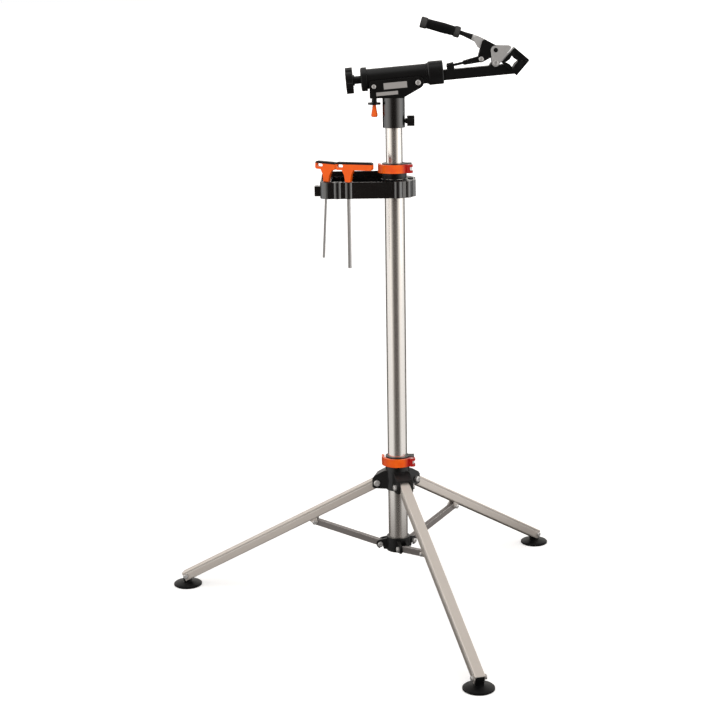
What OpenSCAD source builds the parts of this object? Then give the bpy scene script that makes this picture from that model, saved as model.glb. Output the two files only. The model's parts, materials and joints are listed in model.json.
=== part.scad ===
// Bicycle repair stand: a folding tripod, a telescoping mast with a tool tray, and a
// clamp head that swivels on the mast, folds down and turns about its own arm.
// Millimetres. The floor is Z = 0, the clamp arm points along +X and the tool tray along -X,
// and the origin is the middle of the rectangle round the three feet.

/* [Mast] */
// Outside diameter of the lower mast tube
outer_tube_d = 38; // [34:0.5:42]
// Wall of the lower mast tube
outer_tube_wall = 1.9; // [1.4:0.1:2.4]
// Length of the lower mast tube
outer_tube_len = 760; // [700:5:820]
// Wall of the guide bush between the two mast tubes
bush_wall = 1.05; // [0.8:0.05:1.6]
// Length of the guide bush
bush_len = 42; // [30:1:60]
// Wall of the upper mast tube
inner_tube_wall = 1.8; // [1.2:0.1:2.4]
// Length of the upper mast tube hidden in the lower one
inner_tube_hidden = 540; // [460:5:580]
// Bare length of the upper tube between the mast collar and the head
mast_shown = 67; // [62:1:90]
// Length of the glide at the upper tube's lower end
glide_len = 30; // [20:1:45]

/* [Tripod] */
// Direction of the third leg from the clamp arm, degrees
tripod_turn = 48; // [40:1:56]
// Radius of the circle through the three foot pivots
foot_circle_r = 448; // [420:2:480]
// Height of the foot pivots above the floor
foot_pivot_h = 22; // [21:0.5:26]
// Height of the leg pivots on the upper hub
hub_pivot_h = 249; // [230:1:265]
// Distance of the leg pivots from the mast's surface
leg_pivot_out = 19; // [18:0.5:24]
// Width of the rectangular leg tube
leg_w = 20; // [17:0.5:24]
// Height of the rectangular leg tube
leg_h = 20; // [18:0.5:21]
// Wall of the leg tube
leg_wall = 1.6; // [1.2:0.1:2]
// Corner radius of the leg tube
leg_corner_r = 2.2; // [1.7:0.1:4]
// Depth of the groove along each side of a leg
leg_groove_depth = 0.6; // [0.2:0.1:0.9]
// Height of the strut pivots on the lower hub
strut_pivot_h = 119.5; // [100:0.5:130]
// Distance of the strut pivots from the mast's surface
strut_pivot_out = 15; // [14:0.5:18]
// Distance along the leg from its pivot to the strut pin
strut_pin_along = 160; // [145:1:175]
// Distance of the strut pin below the middle of the leg
strut_pin_drop = 17; // [17:0.5:20]
// Width of a strut
strut_w = 10; // [8:0.5:12]
// Height of a strut
strut_h = 12; // [9:0.5:12.5]
// Slope of a leg below level when the stand is folded
leg_folded_slope = 82; // [70:1:83]
// Diameter of the leg pivot bolts
leg_bolt_d = 8; // [6:0.5:9]
// Diameter of the strut bolts and pins
strut_bolt_d = 6; // [5:0.5:7]

/* [Hubs] */
// Wall of both hubs round the mast
hub_wall = 4; // [3:0.25:5]
// Thickness of an upper hub ear
hub_ear_t = 6; // [4:0.5:8]
// Thickness of a lower hub ear
low_ear_t = 4.5; // [3.5:0.25:6]
// Radius of the hub metal round a leg pivot
hub_ear_r = 10; // [9:0.5:12]
// Height of the neck of the upper hub above its leg pivots
hub_neck_top = 55; // [50:1:65]

/* [Feet] */
// Diameter of a rubber foot pad
pad_d = 58; // [48:1:64]
// Height of a foot pad at its rim
pad_rim_h = 5.5; // [4:0.5:7]
// Height of a foot pad at its middle
pad_mid_h = 9; // [8:0.5:9]

/* [Clamp levers] */
// Radius from the mast's surface to the outside of a split collar
collar_wall = 4.5; // [3.5:0.25:6]
// Height of the mast collar
collar_h = 28.5; // [28:0.5:40]
// Height of a clamp lever band
lever_band_h = 16; // [12:0.5:18]
// Thickness of a clamp lever band
lever_band_t = 5; // [3.5:0.25:6.5]
// Swing of a clamp lever, degrees
lever_swing = 120; // [60:5:125]
// Direction of the split in both collars, degrees from the clamp arm
split_dir = 0; // [-8:1:8]

/* [Tool tray] */
// Distance of the tray's far end from the mast axis
tray_reach = 140; // [125:1:160]
// Outside depth of the tray
tray_depth = 104; // [96:1:120]
// Height of the tray
tray_h = 31; // [28:1:44]
// Wall and floor of the tray
tray_wall = 2.5; // [1.8:0.1:3.5]
// Drop of the tray's rim below the top of the lower mast tube
tray_drop = 20.5; // [20:0.5:40]
// Outside radius of a tool holder
holder_r = 9; // [8:0.25:10]
// Radius of the hole in a tool holder
holder_hole_r = 5; // [4.5:0.25:6]
// Size across the flats of the large hex key
large_key_af = 6; // [5:0.5:7]
// Size across the flats of the small hex key
small_key_af = 4; // [2.5:0.5:5]
// Length of the large key's blade below the tray's rim
large_key_len = 163; // [120:1:220]
// Length of the small key's blade below the tray's rim
small_key_len = 146; // [100:1:200]
// Reach of the large key's handle on its long side
large_key_long = 48.5; // [30:0.5:60]
// Reach of the large key's handle on its short side
large_key_short = 24; // [16:0.5:25]
// Reach of the small key's handle on its long side
small_key_long = 22.5; // [14:0.5:30]
// Reach of the small key's handle on its short side
small_key_short = 17.5; // [12:0.5:18]
// Height of a key's handle bar
key_bar_h = 15; // [13:0.5:17]
// Thickness of a key's handle
key_bar_t = 10; // [8:0.5:11]
// Height of the flared stem under a key's handle bar
key_stem_h = 22.5; // [18:0.5:26]
// Turn of the keys in their holders, degrees
key_turn = -19; // [-21:1:-17]
// Lean of the small key in its holder, degrees
small_key_lean = 3.5; // [0:0.5:3.5]

/* [Head] */
// Height of the sleeve that turns on the upper mast tube
sleeve_h = 56; // [48:1:70]
// Wall of the sleeve
sleeve_wall = 5; // [4:0.25:7]
// Rise from the bracket's base to the arm axis over the mast
arm_rise = 38.5; // [36:0.5:46]
// Upward tilt of the arm axis, degrees
arm_tilt = 4.5; // [0:0.5:6]
// Thickness of the bracket's side plates
bracket_t = 4; // [3:0.25:5]
// Distance from the mast axis to the fold pivot, along the arm
fold_x = 45; // [44:0.5:52]
// Drop of the fold pivot below the arm axis
fold_drop = 13.8; // [13:0.2:16]
// Distance from the mast axis back to the fold lock
lock_x = 37.5; // [34:0.5:40]
// Fold of the arm, degrees
fold_swing = 85; // [60:1:88]

/* [Arm] */
// Outside diameter of the arm housing
housing_d = 37; // [34:0.5:40]
// Distance from the mast axis back to the housing's rear end
housing_back = 49.5; // [48:0.5:60]
// Distance from the mast axis forward to the housing's front end
housing_front = 62; // [60:0.5:76]
// Diameter of the turning shaft in the housing
shaft_d = 22; // [18:0.5:24]
// Wall of the housing's two bushes
arm_bush_wall = 2.95; // [2:0.05:3]
// Diameter of the rear cap
rear_cap_d = 44.4; // [40:0.2:50]
// Length of the rear cap
rear_cap_len = 11.5; // [8:0.5:16]
// Diameter of the rotation knob
knob_d = 49; // [40:1:60]
// Thickness of the rotation knob
knob_t = 13; // [9:0.5:18]
// Length of bare stem between the rear cap and the knob
knob_stem = 15; // [8:0.5:20]
// Diameter of the front collar
front_collar_d = 44; // [40:0.2:48]
// Length of the front collar
front_collar_len = 28; // [22:0.5:34]
// Width of the arm beam
beam_w = 24; // [20:0.5:28]
// Height of the arm beam
beam_h = 19; // [17:0.5:20]
// Drop of the beam's underside below the arm axis
beam_drop = 15.25; // [14:0.25:17]

/* [Jaws] */
// Distance from the mast axis to the middle of the jaws
jaw_x = 228.5; // [224:0.5:244]
// Rise of the jaws' middle above the arm axis
jaw_rise = 7.5; // [6.5:0.5:9]
// Half the width of the closed jaws
jaw_half_w = 26; // [25:0.5:28]
// Half the height of the closed jaws
jaw_half_h = 25.8; // [25:0.1:28]
// Thickness of a jaw's metal back
jaw_back_t = 5.5; // [4:0.25:6.5]
// Distance of the gap between the pads behind the middle of the jaws
grip_back = 6; // [4:0.5:7]
// Reach of the gap between the pads to its rear tip
grip_rear = 13.5; // [11:0.5:14]
// Reach of the gap between the pads to its front tip
grip_front = 11.5; // [10:0.5:14]
// Half the height of the gap between the pads
grip_half_h = 12; // [10:0.5:12.5]
// Width of the jaws across the arm
jaw_w = 36; // [33:1:44]
// Overhang of a pad past its metal back on each side
pad_lip = 2; // [1:0.25:4]
// Opening of the upper jaw, degrees
jaw_swing = 28; // [15:1:30]
// Thickness of the upper jaw's side plates
jaw_plate_t = 3; // [2:0.25:4]

/* [Jaw lever] */
// Distance from the jaw pivot forward to the middle of the jaws
jaw_pivot_back = 37; // [36:0.5:38]
// Height of the lever pivot above the jaw pivot
lever_pivot_up = 23.5; // [22:0.5:25]
// Distance from the lever pivot back to the link pin
link_pin_back = 28; // [26:0.5:29]
// Distance of the link pin below the lever pivot
link_pin_down = 14; // [12:0.5:15]
// Thickness of a lever cheek plate
cheek_t = 3.6; // [2.5:0.1:4]
// Length of the hand grip
grip_len = 79; // [70:1:95]
// Diameter of the hand grip
grip_d = 19; // [16:0.5:24]
// Diameter of the lever's neck and core rod
lever_rod_d = 8.4; // [7:0.2:10]
// Diameter of the adjuster wheel
wheel_d = 11.5; // [10:0.5:12]
// Length of the adjuster wheel
wheel_len = 13; // [10:0.5:16]

/* [Fits] */
// Radial clearance of a running or seated fit
fit = 0.05; // [0.02:0.01:0.09]
// Free gap between pieces that pass each other
gap = 0.3; // [0.2:0.05:0.6]

/* [Hidden] */
$fn = 64;

black = [0.07, 0.07, 0.075];
soft_black = [0.11, 0.11, 0.115];
orange = [0.93, 0.32, 0.07];
aluminium = [0.72, 0.69, 0.66];
steel = [0.62, 0.62, 0.63];
strut_grey = [0.48, 0.46, 0.45];

// Directions of the three legs round the mast, degrees from the clamp arm
leg_dirs = [tripod_turn + 120, tripod_turn + 240, tripod_turn];
tube_r = outer_tube_d / 2;
tube_bore_r = tube_r - outer_tube_wall;
inner_tube_r = tube_bore_r - bush_wall - fit;
foot_xs = [for (d = leg_dirs) foot_circle_r * cos(d)];
foot_ys = [for (d = leg_dirs) foot_circle_r * sin(d)];
mast_x = -(min(foot_xs) + max(foot_xs)) / 2;
mast_y = -(min(foot_ys) + max(foot_ys)) / 2;

// Plane geometry: outlines are lists of points, counter-clockwise
function polar(r, a) = [r * cos(a), r * sin(a)];
function heading(p, q) = atan2(q[1] - p[1], q[0] - p[0]);
function arc(c, r, a0, a1, n) = [for (i = [0:n]) c + polar(r, a0 + (a1 - a0) * i / n)];
function turned(v, a) = [v[0] * cos(a) - v[1] * sin(a), v[0] * sin(a) + v[1] * cos(a)];
// Direction of the outer normal of the straight run from circle p to circle q
function run_normal(p, pr, q, qr) = heading(p, q) - 90 + asin((pr - qr) / norm(q - p));
// Outline of a belt drawn tight round circles given in counter-clockwise order
function belt(c, r, n = 8) = let (k = len(c)) [for (i = [0:k - 1])
    let (b = (i + k - 1) % k, f = (i + 1) % k)
    let (a0 = run_normal(c[b], r[b], c[i], r[i]), a1 = run_normal(c[i], r[i], c[f], r[f]))
    each arc(c[i], r[i], a0, a0 + (a1 - a0 + 720) % 360, n)];
function rounded(w, h, r, n = 5) = let (x = w / 2 - r, y = h / 2 - r)
    belt([[-x, -y], [x, -y], [x, y], [-x, y]], [r, r, r, r], n);
// Where two circles meet, to the left of the line from p to q
function meet(p, pr, q, qr) =
    let (d = norm(q - p), x = (pr * pr - qr * qr + d * d) / (2 * d), u = (q - p) / d)
    p + u * x + [-u[1], u[0]] * sqrt(pr * pr - x * x);

// Tripod linkage in the plane of one leg: distance from the mast axis, height
hub_pin = [tube_r + leg_pivot_out, hub_pivot_h];
foot_pin = [foot_circle_r, foot_pivot_h];
lower_pin = [tube_r + strut_pivot_out, strut_pivot_h];
leg_len = norm(foot_pin - hub_pin);
leg_slope = -heading(hub_pin, foot_pin);
strut_pin = hub_pin + turned([strut_pin_along, -strut_pin_drop], -leg_slope);
strut_len = norm(strut_pin - lower_pin);
leg_swing = leg_folded_slope - leg_slope;
folded_reach = turned(strut_pin - hub_pin, -leg_swing);
folded_out = hub_pin[0] + folded_reach[0] - lower_pin[0];
hub_lift = lower_pin[1] + sqrt(pow(strut_len, 2) - pow(folded_out, 2))
    - folded_reach[1] - hub_pin[1];
folded_pin = hub_pin + [0, hub_lift] + folded_reach;
strut_turn = heading(folded_pin, lower_pin) - heading(strut_pin, lower_pin);
strut_swing = (strut_turn + 360) % 360 + leg_swing;
// Place of a strut's inner end against its seat, at a share t of the fold
function strut_drift(t) = hub_pin + [0, hub_lift * t]
    + turned(strut_pin - hub_pin, -leg_swing * t)
    + turned(lower_pin - strut_pin, (strut_swing - leg_swing) * t) - lower_pin;

// Heights up the mast
low_ear_r = 9;
low_hub_drop = 11;
low_hub_top = 17.5;
plug_flange = 3;
plug_len = 22;
tube_bottom = strut_pivot_h - low_hub_drop + plug_flange;
tube_top = tube_bottom + outer_tube_len;
bush_flange = 3;
collar_lip = 6;
collar_top = tube_top + bush_flange + collar_lip;
collar_bottom = collar_top - collar_h;
tray_rim = tube_top - tray_drop;
tray_floor = tray_rim - tray_h;
sleeve_bottom = collar_top + mast_shown;
bracket_base = sleeve_bottom + sleeve_h;
inner_tube_top = bracket_base - 4;
inner_tube_bottom = tube_top - inner_tube_hidden;
arm_h = bracket_base + arm_rise;

// Hubs
core_r = tube_r + hub_wall;
neck_r = tube_r + collar_wall;
hub_low = hub_pivot_h - hub_ear_r - 1;
hub_shoulder = hub_pivot_h + 26;
hub_out = hub_pin[0] + hub_ear_r;
leg_tail = 8;
leg_toe = 6;
leg_slot_w = leg_w + 2 * gap;
strut_slot_w = strut_w + 2 * gap;
bolt_head_t = 4;

// Clamp levers, seen from above: the split points along local +X
split_w = 3;
lug_t = 8;
clamp_x = neck_r + 4.5;
lug_out = clamp_x + 5;
lever_pin_r = 2.5;
lever_hub_r = 7;
lever_pin_y = -(split_w / 2 + lug_t + gap + lever_hub_r + 0.2);
clamp_bolt_r = 3;
eye_r = 5;
eye_h = 6;
lever_h_mast = collar_top - 1.2 - lever_band_h / 2;
lever_h_hub = hub_pivot_h + hub_neck_top - 1.2 - lever_band_h / 2;

// Head, in the plane of the arm: distance along the arm from the mast, height above its axis
sleeve_r = inner_tube_r + fit + sleeve_wall;
fold_pin = [fold_x, -fold_drop];
bracket_gap = housing_d + 1.6;
bracket_w = bracket_gap + 2 * bracket_t;
trunnion_r = 4;
trunnion_tip = 11.7;
pivot_boss_r = 9;
lock_boss = [17, 28, 13];
guide_r = 2.5;
guide_tip = max(lock_boss[1] / 2, sqrt(pow(housing_d / 2, 2) - pow(fold_drop - guide_r - 0.5, 2))) + gap;
lock_screw_r = 4;
lock_stem_r = 5;
lock_disc_h = 9;
knob_screw_r = 3;
knob_reach = 18;
head_knob_d = 20;
head_knob_h = 12;
bush_r = shaft_d / 2 + fit + arm_bush_wall;
arm_bush_len = 20;
washer_t = 3;
collar_back = housing_front + washer_t + 2 * gap;
beam_back = collar_back + front_collar_len;
draw_bolt_r = 5;
draw_bolt_in = 30;
beam_top = beam_h - beam_drop;

// Jaw linkage, in the same plane
jaw_mid = [jaw_x, jaw_rise];
jaw_pin = [jaw_x - jaw_pivot_back, jaw_rise + 0.5];
lever_pin_at = jaw_pin + [2, lever_pivot_up];
link_pin_at = lever_pin_at - [link_pin_back, link_pin_down];
wheel_at = [beam_back + wheel_len / 2 + 7.7, beam_top + wheel_d / 2 + 0.5];
link_len = norm(link_pin_at - wheel_at);
crank_len = norm(link_pin_at - lever_pin_at);
open_lever_pin = jaw_pin + turned(lever_pin_at - jaw_pin, jaw_swing);
open_link_pin = meet(wheel_at, link_len, open_lever_pin, crank_len);
lever_turn = heading(lever_pin_at, link_pin_at) - heading(open_lever_pin, open_link_pin);
lever_lift = (lever_turn + 540) % 360 - 180;
link_turn = heading(wheel_at, open_link_pin) - heading(wheel_at, link_pin_at);
neck_from = lever_pin_at + [-35, 24];
neck_slope = 154;
neck_to = neck_from + polar(28, neck_slope);
grip_slope = 159.5;
pin_r = 4;
link_pin_r = 3;
rod_r = 2.5;
jaw_clear = 0.5;
jaw_ear_r = 7;

// Frames and small shapes
module on_mast(z = 0) { translate([mast_x, mast_y, z]) children(); }
module on_spoke(i) { on_mast() rotate([0, 0, leg_dirs[i - 1]]) children(); }
module on_leg(i) {
    on_spoke(i) translate([hub_pin[0], 0, hub_pin[1]]) rotate([0, leg_slope, 0]) children();
}
module on_split(z) { on_mast(z) rotate([0, 0, split_dir]) children(); }
module on_tray() { on_mast(tray_floor) rotate([0, 0, split_dir]) children(); }
module on_arm() { on_mast(arm_h) rotate([0, -arm_tilt, 0]) children(); }
// A plate of thickness t whose outline lies in the X Z plane, middle at y
module plate(t, y = 0) {
    translate([0, y, 0]) rotate([90, 0, 0]) linear_extrude(t, center = true) children();
}
// The same thing on both sides of the middle plane
module both_sides(y) { for (s = [-1, 1]) translate([0, s * y, 0]) children(); }
// A round bar across the middle plane, at point p of the X Z plane
module cross_bar(p, r, l) {
    translate([p[0], 0, p[1]]) rotate([90, 0, 0]) cylinder(r = r, h = l, center = true);
}
// A round bar along X from x0 to x1
module long_bar(x0, x1, r) { translate([x0, 0, 0]) rotate([0, 90, 0]) cylinder(r = r, h = x1 - x0); }
// A bar in the X Z plane from point p to point q
module plane_bar(p, q, r) {
    translate([p[0], 0, p[1]]) rotate([0, 90 - heading(p, q), 0]) cylinder(r = r, h = norm(q - p));
}
// A round button-head bolt across the middle plane, gripping a width w
module bolt(p, r, w, head_r) {
    cross_bar(p, r, w + 2 * bolt_head_t);
    both_sides(w / 2 + bolt_head_t / 2) cross_bar(p, head_r, bolt_head_t);
}

// Lower mast tube: plain round aluminium tube
module outer_mast_tube() {
    color(aluminium) on_mast(tube_bottom) difference() {
        cylinder(r = tube_r, h = outer_tube_len);
        translate([0, 0, -1]) cylinder(r = tube_bore_r, h = outer_tube_len + 2);
    }
}

// Plastic plug that closes the mast's lower end
module mast_plug() {
    color(soft_black) on_mast(tube_bottom) {
        translate([0, 0, -plug_flange]) cylinder(r = tube_r, h = plug_flange);
        cylinder(r = tube_bore_r - fit, h = plug_len);
    }
}

// Lower hub: a ring with three pairs of ears. Each ear has a slot below its seat, through
// which the strut bolt drops while the tripod folds.
module lower_hub() {
    ear_y = (strut_slot_w + low_ear_t) / 2;
    seat_r = strut_bolt_d / 2 + gap;
    out_drift = strut_drift(0.125);
    back_drift = strut_drift(0.875);
    color(black) difference() {
        union() {
            on_mast(strut_pivot_h - low_hub_drop) cylinder(r = core_r, h = low_hub_drop + low_hub_top);
            for (i = [1:3]) on_spoke(i) both_sides(ear_y) plate(low_ear_t)
                polygon(belt([[tube_r, lower_pin[1] - 5], lower_pin, [tube_r, lower_pin[1] + 11]],
                    [5, low_ear_r, 3]));
        }
        on_mast(strut_pivot_h - 30) cylinder(r = tube_r + fit, h = 80);
        for (i = [1:3]) on_spoke(i) {
            cross_bar(lower_pin, seat_r, 60);
            translate([lower_pin[0], 0, lower_pin[1]]) plate(60) polygon([[-seat_r, 0],
                out_drift - [seat_r, 0], back_drift + [seat_r, -1], [seat_r, 0]]);
        }
    }
}

// Two lugs beside the split of a collar
module clamp_lugs(h) {
    both_sides((split_w + lug_t) / 2) translate([tube_r + 1.5, -lug_t / 2, -h / 2])
        cube([lug_out - tube_r - 1.5, lug_t, h]);
}
module clamp_cuts(h) {
    translate([0, -split_w / 2, -h / 2]) cube([lug_out + 1, split_w, h]);
    translate([clamp_x, 0, 0]) rotate([90, 0, 0]) cylinder(r = clamp_bolt_r + fit, h = 60, center = true);
}

// Split collar at the top of the lower mast tube
module mast_collar() {
    color(black) difference() {
        union() {
            on_mast(collar_bottom) cylinder(r = neck_r, h = collar_h);
            on_split(lever_h_mast) clamp_lugs(lever_band_h + 2);
        }
        on_mast(collar_bottom - 1) cylinder(r = tube_r + fit, h = tube_top + bush_flange - collar_bottom + 1);
        on_mast(tube_top) cylinder(r = inner_tube_r + 2 * gap, h = 40);
        on_split(lever_h_mast) clamp_cuts(2 * collar_h);
    }
}

// Clamp bolt with an eye and the upright pin that a lever turns on
module clamp_bolt(z) {
    back = split_w / 2 + lug_t;
    color(steel) on_split(z) translate([clamp_x, 0, 0]) {
        rotate([90, 0, 0]) translate([0, 0, -back]) cylinder(r = clamp_bolt_r, h = back - lever_pin_y);
        rotate([-90, 0, 0]) translate([0, 0, back]) cylinder(r = 2 * clamp_bolt_r, h = bolt_head_t, $fn = 6);
        translate([0, lever_pin_y, -eye_h / 2]) cylinder(r = eye_r, h = eye_h);
        translate([0, lever_pin_y, -lever_band_h / 2]) cylinder(r = lever_pin_r, h = lever_band_h);
    }
}
module mast_clamp_bolt() { clamp_bolt(lever_h_mast); }
module hub_clamp_bolt() { clamp_bolt(lever_h_hub); }

// Clamp lever: a band that lies round the collar, with a forked cam at its pinned end
module clamp_lever(z) {
    band_in = neck_r + 2.5;
    band_out = band_in + lever_band_t;
    start = atan2(lever_pin_y, clamp_x);
    free_end = -190;
    color(orange) on_split(z) difference() {
        translate([0, 0, -lever_band_h / 2]) union() {
            linear_extrude(lever_band_h) polygon(concat(arc([0, 0], band_in, start, free_end, 24),
                [polar(band_in + 1.5, free_end - 10), polar(band_out + 2.5, free_end - 11)],
                arc([0, 0], band_out, free_end, start, 24)));
            translate([clamp_x, lever_pin_y, 0]) cylinder(r = lever_hub_r, h = lever_band_h);
        }
        translate([clamp_x, lever_pin_y, 0]) {
            cylinder(r = lever_pin_r + fit, h = 2 * lever_band_h, center = true);
            cylinder(r = eye_r + gap, h = eye_h + 2 * gap, center = true);
            linear_extrude(eye_h + 2 * gap, center = true) polygon(concat([[-2, -2]],
                arc([0, 0], 3 * lever_hub_r, 60 - lever_swing, 118, 12)));
        }
    }
}
module mast_lever() { clamp_lever(lever_h_mast); }
module hub_lever() { clamp_lever(lever_h_hub); }

// Guide bush in the top of the lower mast tube
module mast_bush() {
    color(soft_black) on_mast(tube_top) difference() {
        union() {
            translate([0, 0, -bush_len]) cylinder(r = tube_bore_r - fit / 2, h = bush_len);
            cylinder(r = tube_r - fit, h = bush_flange);
        }
        translate([0, 0, -bush_len - 1]) cylinder(r = inner_tube_r + fit, h = bush_len + bush_flange + 2);
    }
}

// Tool tray: an open moulded box with tool holders round both ends and a ring on the mast
tray_half = tray_depth / 2;
tray_end_r = 18;
tray_mast_r = 36;
tray_ring_r = core_r + 2;
tray_corners = [[-tray_reach + tray_end_r, -tray_half + tray_end_r], [2, -tray_half + tray_mast_r],
    [2, tray_half - tray_mast_r], [-tray_reach + tray_end_r, tray_half - tray_end_r]];
function tray_outline(inset) = let (e = tray_end_r - inset, m = tray_mast_r - inset)
    belt(tray_corners, [e, m, m, e]);
holder_in = 6.5;
large_key_at = [-tray_reach + 54, -tray_half + holder_in];
key_spacing = 43.9;
small_key_at = large_key_at - polar(key_spacing, key_turn);
tray_right = tray_mast_r - holder_in;
front_holders = [large_key_at, large_key_at - [21, 0], small_key_at, [small_key_at[0], -10],
    tray_corners[1] + polar(tray_right, -82), tray_corners[1] + polar(tray_right, -46),
    tray_corners[1] + polar(tray_right, -10)];
module tool_tray() {
    color(soft_black) on_tray() difference() {
        union() {
            difference() {
                linear_extrude(tray_h) polygon(tray_outline(0));
                translate([0, 0, tray_wall]) linear_extrude(tray_h) polygon(tray_outline(tray_wall));
            }
            cylinder(r = tray_ring_r, h = tray_h);
            for (p = front_holders, s = [-1, 1]) translate([p[0], -s * p[1], 0])
                cylinder(r = holder_r, h = tray_h);
            translate([-tray_reach - 12, -9, 0]) cube([14, 18, 19]);
        }
        translate([0, 0, -1]) cylinder(r = tube_r + fit, h = tray_h + 2);
        for (p = front_holders, s = [-1, 1]) translate([p[0], -s * p[1], -1])
            cylinder(r = holder_hole_r, h = tray_h + 2);
        translate([-tray_reach - 7, 0, 0]) cylinder(r = 2.5, h = tray_h);
    }
}

// Hex key with a handle across its top: the flared stem stands on the tool holder's rim.
// The handle has a hanging slot near its left end.
key_slot_r = 3;
module hex_key(at, af, blade_len, left, right, lean) {
    foot_w = 5;
    bar_low = key_stem_h + 4;
    bar_high = key_stem_h + key_bar_h - 4;
    on_tray() translate([at[0], at[1], tray_h + foot_w * sin(lean)]) rotate([0, lean, key_turn]) {
        color(orange) difference() {
            union() {
                plate(key_bar_t) polygon(belt([[4 - left, bar_low], [right - 4, bar_low],
                    [right - 4, bar_high], [4 - left, bar_high]], [4, 4, 4, 4], 5));
                plate(key_bar_t) polygon([[-foot_w, 0], [foot_w, 0], [7, 0.6 * key_stem_h],
                    [12, key_stem_h + 1], [-12, key_stem_h + 1], [-7, 0.6 * key_stem_h]]);
            }
            for (x = [6, 12]) cross_bar([x - left, key_stem_h + key_bar_h / 2], key_slot_r, 2 * key_bar_t);
            translate([6 - left, -key_bar_t, key_stem_h + key_bar_h / 2 - key_slot_r])
                cube([6, 2 * key_bar_t, 2 * key_slot_r]);
            translate([0, 0, -1]) cylinder(r = af / sqrt(3) + fit, h = key_stem_h + 1 + fit, $fn = 6);
        }
        color(steel) translate([0, 0, -blade_len])
            cylinder(r = af / sqrt(3), h = blade_len + key_stem_h, $fn = 6);
    }
}
module large_hex_key() {
    hex_key(large_key_at, large_key_af, large_key_len, large_key_short, large_key_long, 0);
}
module small_hex_key() {
    hex_key(small_key_at, small_key_af, small_key_len, small_key_long, small_key_short, small_key_lean);
}

// Upper mast tube
module inner_mast_tube() {
    color(aluminium) on_mast(inner_tube_bottom) difference() {
        cylinder(r = inner_tube_r, h = inner_tube_top - inner_tube_bottom);
        translate([0, 0, -1]) cylinder(r = inner_tube_r - inner_tube_wall,
            h = inner_tube_top - inner_tube_bottom + 2);
    }
}

// Glide at the foot of the upper tube, running in the lower tube
module mast_glide() {
    color(soft_black) on_mast(inner_tube_bottom) difference() {
        translate([0, 0, -plug_flange]) cylinder(r = tube_bore_r - fit, h = glide_len + plug_flange);
        cylinder(r = inner_tube_r + fit / 2, h = glide_len + 1);
        translate([0, 0, -plug_flange - 1]) cylinder(r = inner_tube_r - inner_tube_wall, h = glide_len);
    }
}

// Sleeve of the head, turning on the upper mast tube
module head_sleeve() {
    color(black) difference() {
        on_mast(sleeve_bottom) cylinder(r = sleeve_r, h = sleeve_h);
        on_mast(sleeve_bottom - 1) cylinder(r = inner_tube_r + fit, h = sleeve_h + 2);
        on_split(sleeve_bottom + head_knob_h) rotate([0, 90, 0]) cylinder(r = knob_screw_r + fit, h = 60);
    }
}

// Knob and screw that lock the sleeve on the mast
module head_lock_knob() {
    color(black) on_split(sleeve_bottom + head_knob_h) rotate([0, 90, 0]) {
        translate([0, 0, inner_tube_r + gap]) cylinder(r = knob_screw_r, h = sleeve_wall + 6);
        translate([0, 0, sleeve_r + gap]) cylinder(r = head_knob_d / 4, h = 5);
        translate([0, 0, sleeve_r + 4]) linear_extrude(knob_reach - 4) difference() {
            circle(d = head_knob_d);
            for (a = [0:60:300]) rotate(a) translate([head_knob_d / 2 + 2.2, 0]) circle(r = 3.5);
        }
    }
}

// Bracket: a base on the sleeve and two side plates that carry the arm housing
bracket_back = -housing_back + 5;
function arm_to_mast(p) = turned(p, arm_tilt) + [0, arm_rise];
module head_bracket() {
    pivot = arm_to_mast(fold_pin);
    guide = arm_to_mast([-lock_x, -fold_drop]);
    color(black) on_mast(bracket_base) difference() {
        union() {
            both_sides((bracket_gap + bracket_t) / 2) plate(bracket_t)
                polygon(belt([[bracket_back + 6, 6], [sleeve_r - 5, 6], pivot,
                    [bracket_back + 5, guide[1] + 5]], [6, 6, 11, 5], 6));
            translate([bracket_back, -bracket_w / 2, 0])
                cube([sleeve_r - bracket_back, bracket_w, 4]);
        }
        cross_bar(pivot, trunnion_r + fit, 2 * bracket_w);
        cross_bar(guide, guide_r + fit, 2 * bracket_w);
        translate([guide[0], 0, -1]) cylinder(r = lock_stem_r + 2 * gap, h = 20);
    }
}

// Two trunnion screws that the arm housing folds on
module fold_pivot_screws() {
    color(steel) on_mast(bracket_base) for (s = [0, 1]) mirror([0, s, 0]) {
        pivot = arm_to_mast(fold_pin);
        translate([pivot[0], trunnion_tip, pivot[1]]) rotate([-90, 0, 0]) {
            cylinder(r = trunnion_r, h = bracket_w / 2 - trunnion_tip);
            translate([0, 0, bracket_w / 2 - trunnion_tip]) cylinder(r = trunnion_r + 1, h = bolt_head_t);
        }
    }
}

// Two short screws that guide the housing's lock boss between the side plates
module guide_screws() {
    color(steel) on_mast(bracket_base) for (s = [0, 1]) mirror([0, s, 0]) {
        guide = arm_to_mast([-lock_x, -fold_drop]);
        translate([guide[0], guide_tip, guide[1]]) rotate([-90, 0, 0]) {
            cylinder(r = guide_r, h = bracket_w / 2 - guide_tip);
            translate([0, 0, bracket_w / 2 - guide_tip]) cylinder(r = 4, h = bolt_head_t - 1);
        }
    }
}

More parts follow.
